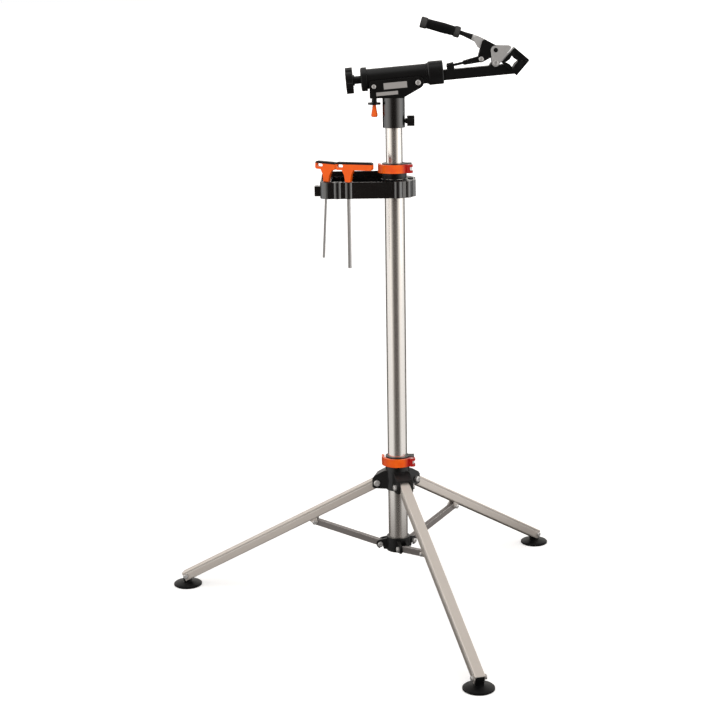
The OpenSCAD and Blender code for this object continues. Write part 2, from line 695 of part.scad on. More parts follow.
// Lock screw under the housing's rear end, with its clamping disc and its grip
module on_lock() {
    guide = arm_to_mast([-lock_x, -fold_drop]);
    on_mast(bracket_base) translate([guide[0], 0, 0]) children();
}
module fold_lock_screw() {
    boss_low = arm_to_mast([-lock_x, -fold_drop - 9])[1];
    color(black) on_lock() {
        translate([0, 0, -lock_disc_h]) cylinder(r = lock_stem_r, h = lock_disc_h + boss_low - 2);
        translate([0, 0, 0]) cylinder(r = lock_screw_r, h = boss_low + 6);
        translate([0, 0, -lock_disc_h - 4]) cylinder(r = 12, h = 4);
        translate([0, 0, -lock_disc_h - 22]) cylinder(r = 2.5, h = 20);
    }
}
module fold_lock_grip() {
    color(orange) on_lock() translate([0, 0, -lock_disc_h - 4]) rotate_extrude()
        polygon([[2.5 + fit, 0], [3.4, 0], [4.2, -8], [6.2, -18], [6.2, -21], [5, -23], [0, -23],
            [0, -18 - fit], [2.5 + fit, -18 - fit]]);
}

// Arm housing: a thick tube with a trunnion boss and a boss for the lock screw
module arm_housing() {
    lock_low = -fold_drop - 9;
    color(black) on_arm() difference() {
        union() {
            long_bar(-housing_back, housing_front, housing_d / 2);
            cross_bar(fold_pin, pivot_boss_r, bracket_gap - 2 * gap);
            translate([-lock_x - lock_boss[0] / 2, -lock_boss[1] / 2, lock_low]) cube(lock_boss);
        }
        long_bar(-housing_back - 1, housing_front + 1, bush_r + fit / 2);
        for (s = [0, 1]) mirror([0, s, 0]) translate([fold_pin[0], trunnion_tip - 0.1, fold_pin[1]])
            rotate([-90, 0, 0]) cylinder(r = trunnion_r + fit, h = bracket_w);
        translate([-lock_x, 0, -fold_drop]) rotate([0, arm_tilt, 0]) translate([0, 0, -11])
            cylinder(r = lock_screw_r + 0.7, h = 10);
    }
}

// Cap on the housing's rear end
module rear_cap() {
    r = rear_cap_d / 2;
    color(soft_black) on_arm() rotate([0, -90, 0]) rotate_extrude()
        polygon([[draw_bolt_r + 4, housing_back], [r, housing_back], [r, housing_back + rear_cap_len - 2],
            [r - 2, housing_back + rear_cap_len], [draw_bolt_r + 4, housing_back + rear_cap_len]]);
}

// Two plain bushes for the shaft
module housing_bushes() {
    color(steel) on_arm() for (x = [-housing_back, housing_front - arm_bush_len]) difference() {
        long_bar(x, x + arm_bush_len, bush_r);
        long_bar(x - 1, x + arm_bush_len + 1, shaft_d / 2 + fit);
    }
}

// Shaft of the arm, drawn back by the bolt in its rear end
module arm_shaft() {
    color(steel) on_arm() difference() {
        long_bar(-housing_back + 2, beam_back - 2, shaft_d / 2);
        long_bar(-housing_back - 1, -housing_back + draw_bolt_in + 10, draw_bolt_r + fit);
    }
}

// Friction washer between the housing and the front collar
module thrust_washer() {
    color(steel) on_arm() difference() {
        long_bar(housing_front + gap, housing_front + gap + washer_t, housing_d / 2 + 1);
        long_bar(housing_front, housing_front + 10, shaft_d / 2 + fit);
    }
}

// Front collar that clamps against the housing
module front_collar() {
    r = front_collar_d / 2;
    x0 = housing_front + gap + washer_t;
    color(black) on_arm() rotate([0, 90, 0]) rotate_extrude()
        polygon([[shaft_d / 2 + fit, x0], [r - 1.5, x0], [r, x0 + 1.5], [r, beam_back - 1.5],
            [r - 1.5, beam_back], [0, beam_back], [0, beam_back - 2 + fit],
            [shaft_d / 2 + fit, beam_back - 2 + fit]]);
}

// A jaw's metal back and its pad: V shapes below the jaws' middle
module jaw_vee(w, h) { polygon([[-w, 0], [0, -h], [w, 0]]); }
module jaw_band(w, h, w_in, h_in) {
    difference() {
        jaw_vee(w, h);
        jaw_vee(w_in, h_in);
        translate([-w, -jaw_clear]) square([2 * w, h]);
    }
}
module jaw_back_outline() {
    jaw_band(jaw_half_w, jaw_half_h, jaw_half_w - jaw_back_t, jaw_half_h - jaw_back_t);
}
// The gap between the two pads: a star with four points, of which each pad holds half
grip_waist = 4.8;
module grip_gap() {
    translate([-grip_back, 0]) polygon([[-grip_rear, 0], [-grip_waist, -grip_waist], [0, -grip_half_h],
        [grip_waist, -grip_waist], [grip_front, 0], [grip_waist, grip_waist], [0, grip_half_h],
        [-grip_waist, grip_waist]]);
}
module jaw_pad_outline() {
    difference() {
        jaw_vee(jaw_half_w - jaw_back_t, jaw_half_h - jaw_back_t);
        grip_gap();
        translate([-jaw_half_w, -jaw_clear]) square([2 * jaw_half_w, jaw_half_h]);
    }
}

// Arm beam: a channel that ends in the fixed lower jaw
module arm_beam() {
    lean = jaw_half_w / jaw_half_h;
    low = -beam_drop - jaw_rise;
    high = beam_top - jaw_rise;
    color(black) on_arm() difference() {
        union() {
            plate(beam_w) polygon([[beam_back, -beam_drop], [jaw_x - (low + jaw_half_h) * lean, -beam_drop],
                [jaw_x - (high + jaw_half_h) * lean, beam_top], [beam_back, beam_top]]);
            plate(beam_w) polygon(belt([[jaw_pin[0] - 12, 0], [jaw_pin[0] + 2, 0], jaw_pin],
                [3, 3, 7], 6));
            translate([jaw_x, 0, jaw_rise]) plate(jaw_w) jaw_back_outline();
        }
        cross_bar(jaw_pin, pin_r + fit, 2 * beam_w);
        both_sides(beam_w / 2 + jaw_w / 2) cross_bar(jaw_pin, jaw_ear_r + 2, jaw_w);
        translate([beam_back + 6, -beam_w / 2 + 4, -beam_drop - 1]) cube([80, beam_w - 8, beam_h - 4]);
        translate([beam_back + 2, -wheel_d / 2 - 2 * gap, -2]) cube([wheel_len + 9, wheel_d + 4 * gap, beam_h]);
    }
}
module lower_jaw_pad() {
    color(soft_black) on_arm() translate([jaw_x, 0, jaw_rise]) plate(jaw_w + 2 * pad_lip) jaw_pad_outline();
}

// Pin of the upper jaw, with a button head outside each side plate
jaw_plate_y = beam_w / 2 + gap + jaw_plate_t / 2;
jaw_plates_w = beam_w + 2 * gap + 2 * jaw_plate_t;
module jaw_pivot_pin() {
    color(steel) on_arm() {
        cross_bar(jaw_pin, pin_r, jaw_plates_w + 2 * gap + 2);
        both_sides(jaw_plates_w / 2 + gap + 1.5) cross_bar(jaw_pin, pin_r + 1.2, 3);
    }
}

// Saddle on the beam, with a cheek on each side of the adjuster wheel
module link_saddle() {
    cheek_y = wheel_d / 2 + 1.5 + gap;
    color(black) on_arm() both_sides(cheek_y) plate(3)
        polygon(belt([[wheel_at[0] - 5, beam_top + 2], [wheel_at[0] + 5, beam_top + 2],
            [wheel_at[0], wheel_at[1]]], [2, 2, 4], 5));
}

// Rotation knob and the bolt that draws the shaft back
module rotation_knob() {
    x0 = housing_back + rear_cap_len + knob_stem;
    color(soft_black) on_arm() rotate([0, -90, 0]) translate([0, 0, x0]) difference() {
        union() {
            linear_extrude(knob_t) difference() {
                circle(d = knob_d);
                for (a = [0:45:315]) rotate(a) translate([knob_d / 2 + 4.5, 0]) circle(r = 6.5);
            }
            translate([0, 0, -3]) cylinder(r = draw_bolt_r + 5, h = 6);
        }
        translate([0, 0, -4]) cylinder(r = draw_bolt_r + fit / 2, h = knob_t);
    }
}
module draw_bolt() {
    x0 = housing_back + rear_cap_len + gap;
    color(soft_black) on_arm() rotate([0, -90, 0]) {
        translate([0, 0, housing_back - draw_bolt_in]) cylinder(r = draw_bolt_r,
            h = draw_bolt_in + rear_cap_len + knob_stem + knob_t - 5);
        translate([0, 0, x0]) cylinder(r = draw_bolt_r + 2.3, h = knob_stem - gap - 3);
    }
}

// Upper jaw: two side plates hinged on the beam, a V-shaped back and its pad
module upper_jaw_plates() {
    color(aluminium) on_arm() both_sides(jaw_plate_y) plate(jaw_plate_t) difference() {
        polygon(belt([jaw_pin, jaw_mid + [-9, jaw_half_h + 0.5], lever_pin_at + [-1, 0]], [jaw_ear_r, 3, 8]));
        translate(jaw_mid) polygon([[-jaw_half_w, 0], [jaw_half_w, 0], [0, jaw_half_h]]);
        translate(jaw_mid) polygon([[-jaw_half_w - 2, jaw_clear], [0, -jaw_half_h - 2], [jaw_half_w, jaw_clear]]);
        translate(jaw_pin) circle(r = pin_r + fit);
        translate(lever_pin_at) circle(r = pin_r + fit / 2);
    }
}
module upper_jaw_back() {
    color(black) on_arm() translate([jaw_x, 0, jaw_rise]) plate(jaw_w) mirror([0, 1]) jaw_back_outline();
}
module upper_jaw_pad() {
    color(soft_black) on_arm() translate([jaw_x, 0, jaw_rise]) plate(jaw_w + 2 * pad_lip)
        mirror([0, 1]) jaw_pad_outline();
}
module lever_pin() { color(black) on_arm() cross_bar(lever_pin_at, pin_r, jaw_plates_w + 2); }

// Lever: two cheek plates, a casting between them that runs out into a bent rod, and a grip
cheek_gap = beam_w - 2 * gap - 2 * cheek_t - 1;
grip_at = neck_to;
grip_end = grip_at + polar(grip_len, grip_slope);
cheek_mid = lever_pin_at + [-19, 15];
module lever_cheeks() {
    color(black) on_arm() both_sides((cheek_gap + cheek_t) / 2) plate(cheek_t) difference() {
        polygon(belt([link_pin_at, lever_pin_at, cheek_mid], [6.5, 8, 5.5]));
        translate(lever_pin_at) circle(r = pin_r + fit);
        translate(link_pin_at) circle(r = link_pin_r + fit / 2);
    }
}
module lever_casting() {
    color(aluminium) on_arm() {
        plate(cheek_gap) polygon(belt([cheek_mid + [4, -4], cheek_mid + [2, 1], neck_from + [2, -1],
            neck_from + [6, -14]], [5, 4, 6, 4]));
        translate([neck_from[0], 0, neck_from[1]]) rotate([0, 90 - neck_slope, 0])
            cylinder(r1 = lever_rod_d / 2 + 2, r2 = lever_rod_d / 2, h = norm(neck_to - neck_from) - 4);
        plane_bar(neck_from, neck_to + polar(2, neck_slope), lever_rod_d / 2);
        plane_bar(neck_to, neck_to + polar(grip_len * 0.7, grip_slope), lever_rod_d / 2);
    }
}
module lever_grip() {
    r = grip_d / 2;
    hole = lever_rod_d / 2 + fit;
    color(soft_black) on_arm() translate([grip_at[0], 0, grip_at[1]]) rotate([0, 90 - grip_slope, 0])
        rotate_extrude() polygon([[hole, 3], [r - 1, 3], [r + 1, 4.5], [r + 1, 13], [r - 0.6, 14.5],
            [r + 0.2, grip_len * 0.45], [r - 0.5, grip_len - 13], [r + 1, grip_len - 12],
            [r + 1, grip_len - 1.5], [r - 0.5, grip_len], [0, grip_len], [0, grip_len * 0.7 + fit],
            [hole, grip_len * 0.7 + fit]]);
}
module link_pin() { color(steel) on_arm() bolt(link_pin_at, link_pin_r, cheek_gap + 2 * cheek_t, 4.5); }

// Toggle link: a clevis on the link pin and a threaded rod that carries the adjuster wheel
link_dir = heading(wheel_at, link_pin_at);
link_w = cheek_gap - 2 * gap;
module toggle_link() {
    clevis_back = link_pin_at - polar(31, link_dir);
    color(black) on_arm() difference() {
        union() {
            plate(link_w) polygon(belt([clevis_back, link_pin_at], [4.2, 6], 10));
            plane_bar(wheel_at - polar(wheel_len / 2 + 1, link_dir), clevis_back, rod_r);
        }
        cross_bar(link_pin_at, link_pin_r + fit, 2 * link_w);
    }
}
module adjuster_wheel() {
    color(soft_black) on_arm() translate([wheel_at[0], 0, wheel_at[1]]) rotate([0, 90 - link_dir, 0])
        linear_extrude(wheel_len, center = true) difference() {
            circle(d = wheel_d);
            circle(r = rod_r + fit);
            for (a = [0:30:330]) rotate(a) translate([wheel_d / 2 + 0.5, 0]) circle(r = 1.1);
        }
}

// Upper hub: a ring with three covered forks and a split neck
module tripod_hub() {
    clear_in = hub_pin[0] - norm([leg_tail, leg_h / 2]) - 2 * gap;
    slot_top = hub_pivot_h + norm([leg_tail, leg_h / 2]) + 1.5;
    color(black) difference() {
        union() {
            on_mast(hub_low - 2) cylinder(r = core_r, h = hub_shoulder - hub_low + 3.5);
            on_mast(hub_shoulder - 3) cylinder(r = neck_r, h = hub_pivot_h + hub_neck_top - hub_shoulder + 3);
            for (i = [1:3]) on_spoke(i) plate(leg_slot_w + 2 * hub_ear_t)
                polygon([[0, hub_low], [hub_out - 3, hub_low], [hub_out, hub_low + 3],
                    [hub_out, hub_pivot_h + 9], [hub_out - 4, hub_pivot_h + 14.5],
                    [core_r + 1, hub_shoulder], [0, hub_shoulder]]);
            on_split(lever_h_hub) clamp_lugs(lever_band_h + 2);
        }
        on_mast(hub_low - 3) cylinder(r = tube_r + fit, h = 200);
        for (i = [1:3]) on_spoke(i) {
            plate(leg_slot_w) polygon([[clear_in, hub_low - 1], [hub_out + 1, hub_low - 1],
                [hub_out + 1, hub_pivot_h + 10], [hub_pin[0] + 2, slot_top], [clear_in, slot_top]]);
            cross_bar(hub_pin, leg_bolt_d / 2 + fit / 2, 80);
        }
        on_split(lever_h_hub) clamp_cuts(lever_band_h + 8);
    }
}
module leg_pivot_bolts() {
    color(steel) for (i = [1:3]) on_spoke(i)
        bolt(hub_pin, leg_bolt_d / 2, leg_slot_w + 2 * hub_ear_t, leg_bolt_d * 0.75);
}

// Leg: rounded rectangular tube, grooved along both sides, with a welded strut bracket.
// Its lower wall is cut back at the toe so that the foot's stem can swing.
bracket_cheek_t = 2.5;
module leg_tube(i) {
    span = leg_tail + leg_len + leg_toe;
    notch = leg_toe + 10;
    color(aluminium) on_leg(i) difference() {
        union() {
            translate([-leg_tail, 0, 0]) rotate([90, 0, 90]) linear_extrude(span) difference() {
                polygon(rounded(leg_w, leg_h, leg_corner_r));
                square([leg_w - 2 * leg_wall, leg_h - 2 * leg_wall], center = true);
                for (s = [-1, 1]) translate([s * leg_w / 2, leg_h / 4])
                    square([2 * leg_groove_depth, 1.8], center = true);
            }
            both_sides((strut_slot_w + bracket_cheek_t) / 2) plate(bracket_cheek_t)
                polygon(belt([[strut_pin_along - 8, -leg_h / 2 + 0.6], [strut_pin_along, -strut_pin_drop],
                    [strut_pin_along + 8, -leg_h / 2 + 0.6]], [0.5, 5, 0.5], 8));
        }
        cross_bar([0, 0], leg_bolt_d / 2 + fit, 2 * leg_w);
        cross_bar([leg_len, 0], strut_bolt_d / 2 + fit / 2, 2 * leg_w);
        cross_bar([strut_pin_along, -strut_pin_drop], strut_bolt_d / 2 + fit / 2, 2 * leg_w);
        translate([leg_len + leg_toe - notch, -leg_w / 2 + leg_wall, -leg_h])
            cube([notch + 1, leg_w - 2 * leg_wall, leg_h]);
    }
}
module leg_pins(i) {
    color(steel) on_leg(i) {
        bolt([leg_len, 0], strut_bolt_d / 2, leg_w, strut_bolt_d * 0.8);
        bolt([strut_pin_along, -strut_pin_drop], strut_bolt_d / 2, strut_slot_w + 2 * bracket_cheek_t,
            strut_bolt_d * 0.7);
    }
}

// Strut: a channel with round ends, pinned under the leg and bolted to the lower hub
module strut(i) {
    wall = 2;
    slot = strut_h / 2 + 3;
    inward = [strut_len - slot, 0];
    color(strut_grey) on_spoke(i) translate([lower_pin[0], 0, lower_pin[1]])
        rotate([0, -heading(lower_pin, strut_pin), 0]) difference() {
            plate(strut_w) polygon(belt([[0, 0], [strut_len, 0]], [strut_h / 2, strut_h / 2], 12));
            translate([slot, -strut_w / 2 + wall, -strut_h])
                cube([inward[0] - slot, strut_w - 2 * wall, strut_h * 1.5 - wall]);
            cross_bar([0, 0], strut_bolt_d / 2 + fit / 2, 2 * strut_w);
            cross_bar([strut_len, 0], strut_bolt_d / 2 + fit, 2 * strut_w);
        }
}
module strut_bolt(i) {
    color(steel) on_spoke(i)
        bolt(lower_pin, strut_bolt_d / 2, strut_slot_w + 2 * low_ear_t + 2 * gap, strut_bolt_d * 0.85);
}

// Foot: a round rubber pad whose moulded stem swings on a pin in the leg's toe
module foot(i) {
    stem_w = leg_w - 2 * leg_wall - 2 * gap;
    eye = leg_h / 2 - leg_wall - 2 * gap;
    rim = pad_d / 2;
    color(black) on_spoke(i) translate([foot_pin[0], 0, 0]) difference() {
        union() {
            rotate_extrude() polygon([[0, 0], [rim - 2, 0], [rim, 1.5], [rim, pad_rim_h - 1.5],
                [rim - 1.5, pad_rim_h], [rim - 6, pad_rim_h + 1.2], [12, pad_mid_h], [0, pad_mid_h]]);
            plate(stem_w) polygon(belt([[-1.5, pad_mid_h], [1.5, pad_mid_h], [0, foot_pivot_h]],
                [4, 4, eye], 8));
        }
        cross_bar([0, foot_pivot_h], strut_bolt_d / 2 + fit, 2 * leg_w);
    }
}

outer_mast_tube();
mast_plug();
lower_hub();
mast_collar();
mast_clamp_bolt();
mast_bush();
tool_tray();
large_hex_key();
small_hex_key();
mast_lever();
inner_mast_tube();
mast_glide();
head_sleeve();
head_bracket();
fold_pivot_screws();
guide_screws();
head_lock_knob();
fold_lock_screw();
fold_lock_grip();
arm_housing();
rear_cap();
housing_bushes();
arm_shaft();
thrust_washer();
front_collar();
arm_beam();
lower_jaw_pad();
jaw_pivot_pin();
link_saddle();
rotation_knob();
draw_bolt();
upper_jaw_plates();
upper_jaw_back();
upper_jaw_pad();
lever_pin();
lever_cheeks();
lever_casting();
lever_grip();
link_pin();
toggle_link();
adjuster_wheel();
tripod_hub();
hub_clamp_bolt();
leg_pivot_bolts();
hub_lever();
leg_tube(1);  // leg_tube_1
leg_tube(2);  // leg_tube_2
leg_tube(3);  // leg_tube_3
leg_pins(1);  // leg_pins_1
leg_pins(2);  // leg_pins_2
leg_pins(3);  // leg_pins_3
strut(1);  // strut_1
strut(2);  // strut_2
strut(3);  // strut_3
strut_bolt(1);  // strut_bolt_1
strut_bolt(2);  // strut_bolt_2
strut_bolt(3);  // strut_bolt_3
foot(1);  // foot_1
foot(2);  // foot_2
foot(3);  // foot_3

// Joint places and ranges, for the assembly drawing
echo(mast_x = mast_x, mast_y = mast_y, leg_dirs = leg_dirs);
echo(arm_h = arm_h, arm_tilt = arm_tilt, bracket_base = bracket_base);
echo(hub_pin = hub_pin, foot_pin = foot_pin, strut_pin = strut_pin, lower_pin = lower_pin);
echo(hub_lift = hub_lift, leg_swing = leg_swing, strut_swing = strut_swing, leg_slope = leg_slope);
echo(clamp_x = clamp_x, lever_pin_y = lever_pin_y, split_dir = split_dir, lever_swing = lever_swing);
echo(lever_h_mast = lever_h_mast, lever_h_hub = lever_h_hub, fold_pin = fold_pin, lock_x = lock_x);
echo(jaw_pin = jaw_pin, lever_pin_at = lever_pin_at, link_pin_at = link_pin_at, wheel_at = wheel_at);
echo(jaw_swing = jaw_swing, lever_lift = lever_lift, link_turn = link_turn, fold_swing = fold_swing);
echo(collar_top = collar_top, sleeve_bottom = sleeve_bottom, inner_tube_bottom = inner_tube_bottom,
    tube_top = tube_top, head_knob_h = head_knob_h);
echo(tray_floor = tray_floor, tray_rim = tray_rim, front_holders = front_holders, jaw_mid = jaw_mid);
echo(grip_mid = jaw_mid - [grip_back, 0]);
echo(drift = [for (t = [0:0.125:1]) strut_drift(t)]);
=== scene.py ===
import json
import math

import bpy
import numpy as np
from mathutils import Matrix, Vector

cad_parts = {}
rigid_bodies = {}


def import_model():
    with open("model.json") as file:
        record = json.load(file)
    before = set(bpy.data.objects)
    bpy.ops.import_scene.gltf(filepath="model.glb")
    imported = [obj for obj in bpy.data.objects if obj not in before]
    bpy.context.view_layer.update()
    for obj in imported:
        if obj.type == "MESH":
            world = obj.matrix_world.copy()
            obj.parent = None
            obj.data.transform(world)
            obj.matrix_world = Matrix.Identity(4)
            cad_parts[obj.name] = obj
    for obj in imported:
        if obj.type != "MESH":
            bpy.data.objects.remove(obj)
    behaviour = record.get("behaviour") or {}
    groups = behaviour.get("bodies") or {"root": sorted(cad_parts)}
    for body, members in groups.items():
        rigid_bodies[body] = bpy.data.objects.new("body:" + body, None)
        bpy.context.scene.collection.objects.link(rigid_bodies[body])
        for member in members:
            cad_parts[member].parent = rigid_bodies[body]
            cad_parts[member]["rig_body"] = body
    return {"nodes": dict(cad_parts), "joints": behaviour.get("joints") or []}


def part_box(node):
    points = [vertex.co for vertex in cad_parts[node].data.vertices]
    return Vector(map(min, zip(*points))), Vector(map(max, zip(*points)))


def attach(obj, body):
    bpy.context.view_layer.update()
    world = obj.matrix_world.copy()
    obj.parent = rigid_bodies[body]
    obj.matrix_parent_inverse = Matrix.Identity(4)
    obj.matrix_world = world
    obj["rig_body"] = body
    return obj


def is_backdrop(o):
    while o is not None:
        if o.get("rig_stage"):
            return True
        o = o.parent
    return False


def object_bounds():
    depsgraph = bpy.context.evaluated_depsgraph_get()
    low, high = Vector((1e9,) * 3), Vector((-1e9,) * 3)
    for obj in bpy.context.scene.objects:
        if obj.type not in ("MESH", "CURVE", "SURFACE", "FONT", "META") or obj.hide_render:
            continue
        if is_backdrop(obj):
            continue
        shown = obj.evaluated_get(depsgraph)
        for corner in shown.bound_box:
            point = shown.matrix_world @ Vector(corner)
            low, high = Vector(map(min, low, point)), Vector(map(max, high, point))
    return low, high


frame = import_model()
nodes = frame["nodes"]
joints = {j["name"]: j for j in frame["joints"]}
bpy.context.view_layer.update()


# Mast: two round aluminium tubes, one inside the other, anodised a warm silver and faintly drawn
# along their length. The upper tube is rubbed in rings where it slides through the collar.
class Field:
    """A shader socket with arithmetic, also with a plain number on the left; node() adds any other node."""

    def __init__(self, tree, socket):
        self.tree, self.socket = tree, socket

    def node(self, kind, *feeds, out=0, named=None, **settings):
        """Adds a node with these settings, feeds its inputs by order or by name, and gives one output."""
        made = self.tree.nodes.new(kind)
        for key, value in settings.items():
            setattr(made, key, value)
        for key, value in [*enumerate(feeds), *(named or {}).items()]:
            if isinstance(value, Field):
                self.tree.links.new(value.socket, made.inputs[key])
            elif value is not None:
                made.inputs[key].default_value = value
        return Field(self.tree, made.outputs[out])

    def calc(self, operation, *others):
        return self.node("ShaderNodeMath", self, *others, operation=operation)

    def __add__(self, other):
        return self.calc("ADD", other)

    def __sub__(self, other):
        return self.calc("SUBTRACT", other)

    def __rsub__(self, other):
        return self.node("ShaderNodeMath", other, self, operation="SUBTRACT")

    def __mul__(self, other):
        return self.calc("MULTIPLY", other)

    __radd__, __rmul__ = __add__, __mul__

    def ramp(self, low, high):
        """0 below low, 1 above high, smooth between."""
        return self.node("ShaderNodeMapRange", self, low, high, 0.0, 1.0, interpolation_type="SMOOTHSTEP")

    def band(self, low, high, soft):
        """1 from low to high, fading to 0 over soft on both sides."""
        return self.ramp(low - soft, low) * (1 - self.ramp(high, high + soft))

    def vector(self, operation, *feeds, out=0, **named):
        return self.node("ShaderNodeVectorMath", self, *feeds, operation=operation, out=out, named=named)

    def along(self, start, direction):
        """How far this position lies beyond a start point in a direction."""
        return self.vector("SUBTRACT", tuple(start)).vector("DOT_PRODUCT", tuple(direction), out=1)

    def stretched(self, direction, keep=0.02):
        """This position, squeezed along a direction, so that noise over it runs in lines that way."""
        d = tuple(Vector(direction).normalized())
        part = self.vector("DOT_PRODUCT", d, out=1) * (1 - keep)
        taken = self.node("ShaderNodeVectorMath", d, operation="SCALE", named={"Scale": part})
        return self.vector("SUBTRACT", taken)

    def noise(self, scale, detail=3.0, rough=0.5):
        """Noise from 0 to 1 over this position."""
        sockets = {"Scale": scale, "Detail": detail, "Roughness": rough}
        return self.node("ShaderNodeTexNoise", self, named=sockets)

    def mix(self, a, b):
        """Colour a where this is 0, colour b where it is 1."""
        ends = [x if isinstance(x, Field) else (*x, 1) for x in (a, b)]
        return self.node("ShaderNodeMix", named={0: self, 6: ends[0], 7: ends[1]}, out=2, data_type="RGBA")


def finish_of(name, edge=0.0004, **fixed):
    """A Principled material whose edges are rounded in the shading by a radius.

    Gives the material, the object position, how far a point lies on an edge from 0 to 1, and a function that
    feeds the bump and the shader's varying inputs.
    """
    mat = bpy.data.materials.new(name)
    mat.use_nodes = True
    tree = mat.node_tree
    shader = tree.nodes["Principled BSDF"]
    for key, value in fixed.items():
        shader.inputs[key.replace("_", " ")].default_value = value
    place = Field(tree, tree.nodes.new("ShaderNodeTexCoord").outputs["Object"])
    rounded = place.node("ShaderNodeBevel", named={"Radius": edge}, samples=4)
    facing = place.node("ShaderNodeNewGeometry", out="Normal")
    # corner marks the edges; the materials below use it to paint a highlight along every edge
    corner = 1 - rounded.vector("DOT_PRODUCT", facing, out=1).ramp(0.80, 0.99)

    def feed(height, depth, **varying):
        sockets = {"Height": height, "Distance": depth, "Normal": rounded}
        varying["Normal"] = place.node("ShaderNodeBump", named=sockets)
        for key, value in varying.items():
            tree.links.new(value.socket, shader.inputs[key.replace("_", " ")])

    return mat, place, corner, feed


def dress(mat, *names):
    """Gives CAD nodes this material."""
    for name in names:
        nodes[name].data.materials.clear()
        nodes[name].data.materials.append(mat)


def anodised(name, direction, tint, rough, metal, edge=0.0004, rubbed=None):
    """Drawn aluminium: fine lines along a direction, cloudy handling marks and a painted highlight along the
    corners.

    Between the two heights of rubbed it also has rub rings.
    """
    mat, place, corner, feed = finish_of(name, edge, Metallic=metal, Specular_IOR_Level=0.4)
    edge_highlight_bright = (0.97, 0.94, 0.91)
    lines = place.stretched(direction).noise(1500, 2)
    cloud = place.noise(35, 4)
    smudge = place.noise(9, 3).ramp(0.55, 0.75)
    shade = lines * 0.4 + cloud * 0.2 + smudge * 0.2
    if rubbed:
        height = place.along((0, 0, 0), (0, 0, 1))
        rings = place.stretched((1, 0, 0), 0.002).stretched((0, 1, 0), 0.002).noise(2600, 2)
        shade = shade + height.band(*rubbed, 0.01) * rings.ramp(0.5, 0.7) * 0.35
    colour = shade.mix([c * 1.05 for c in tint], [c * 0.92 for c in tint])
    # The corners are painted pale: a painted highlight where a rounded edge catches the light.
    feed(lines, 0.00004, Base_Color=corner.mix(colour, edge_highlight_bright),
         Roughness=lines * 0.04 + cloud * 0.015 + smudge * 0.015 + rough)
    return mat


collar_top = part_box("mast_collar")[1].z
rub_length = 0.05
lower_silver = (0.84, 0.80, 0.755)
upper_silver = (0.86, 0.82, 0.775)
dress(anodised("mast_lower", (0, 0, 1), lower_silver, 0.16, 0.92), "outer_mast_tube")
dress(anodised("mast_upper", (0, 0, 1), upper_silver, 0.14, 0.92,
               rubbed=(collar_top, collar_top + rub_length)), "inner_mast_tube")


# Hubs, collar and tray: glass-filled nylon, black with a half gloss and a fine moulded grain.
# Upper faces hold a little pale dust.
def nylon(name, base=(0.002, 0.002, 0.0022), rough=0.26, edge=0.0008, gloss=0.5):
    """Moulded nylon, paler where dust lies and along its edges, where a highlight is painted."""
    mat, place, corner, feed = finish_of(name, edge, Specular_IOR_Level=gloss, IOR=1.3 + 0.4 * gloss)
    dust_and_highlight_grey = (0.03, 0.029, 0.028)
    grain = place.noise(1900, 2)
    cloud = place.noise(60, 4)
    facing = place.node("ShaderNodeNewGeometry", out="Normal")
    upward = facing.along((0, 0, 0), (0, 0, 1)).ramp(0.5, 1.0)
    dust = upward * place.noise(170, 5, 0.7).ramp(0.35, 0.75)
    feed(grain * 0.7 + cloud * 0.3, 0.00008,
         # Pale mix: dust on upper faces, a random cloud, and a painted highlight along the edges.
         Base_Color=(dust * 0.35 + cloud * 0.08 + corner * 0.5).mix(base, dust_and_highlight_grey),
         Roughness=grain * 0.06 + cloud * 0.08 + dust * 0.2 + rough)
    return mat


moulded = nylon("moulded_nylon")
dress(moulded, "tripod_hub", "lower_hub", "mast_collar", "mast_plug", "mast_bush", "mast_glide")
tray_nylon = nylon("tray_nylon", (0.0008, 0.0008, 0.001), 0.08, gloss=1.0)
dress(tray_nylon, "tool_tray")


# Raised back of the tray: a thin moulded wall on the rim of the far side, so that tools don't roll off.
# It follows the rim round the corner at the tray's free end, and runs down to the rim at both ends.
def raised_wall(path, outward, height, thick):
    """A profile carried along a path: the points and faces of a thin wall.

    At the share s of the path, its height is h = height (1 - |2s - 1|^8)^(1/2). The profile across it is two
    upright sides joined by a half circle of radius r = thick / 2, at r cos t outward and h - r + r sin t up.
    """
    step = np.linalg.norm(np.diff(path, axis=0), axis=1)
    share = np.concatenate([[0], np.cumsum(step) / step.sum()])[:, None]
    half, turn = thick / 2, np.linspace(0, math.pi, 9)[None, :]
    top = np.maximum(height * np.sqrt(1 - np.abs(2 * share - 1) ** 8), half)
    low = 0 * share - half
    across = np.hstack([low + thick, half * np.cos(turn) + 0 * share, low])
    above = np.hstack([low, top - half + half * np.sin(turn), low])
    points = path[:, None, :] + across[..., None] * outward[:, None, :] + above[..., None] * (0, 0, 1)
    n, rows = across.shape[1], len(path)
    a = (np.arange(rows - 1)[:, None] * n + np.arange(n - 1)[None, :]).ravel()
    sides = np.stack([a, a + n, a + n + 1, a + 1], axis=1).tolist()
    ends = [list(range(n)), list(range(rows * n - 1, (rows - 1) * n - 1, -1))]
    return points.reshape(-1, 3), sides + ends


def corners_of(mesh):
    """The places of a mesh's vertices, one row each."""
    flat = np.empty(3 * len(mesh.vertices), np.float32)
    mesh.vertices.foreach_get("co", flat)
    return flat.reshape(-1, 3).astype(float)


def new_piece(name, points, faces, mat):
    """An object at the origin with these points and faces in one material."""
    mesh = bpy.data.meshes.new(name)
    mesh.from_pydata(points, [], faces)
    mesh.materials.append(mat)
    piece = bpy.data.objects.new(name, mesh)
    bpy.context.scene.collection.objects.link(piece)
    return piece


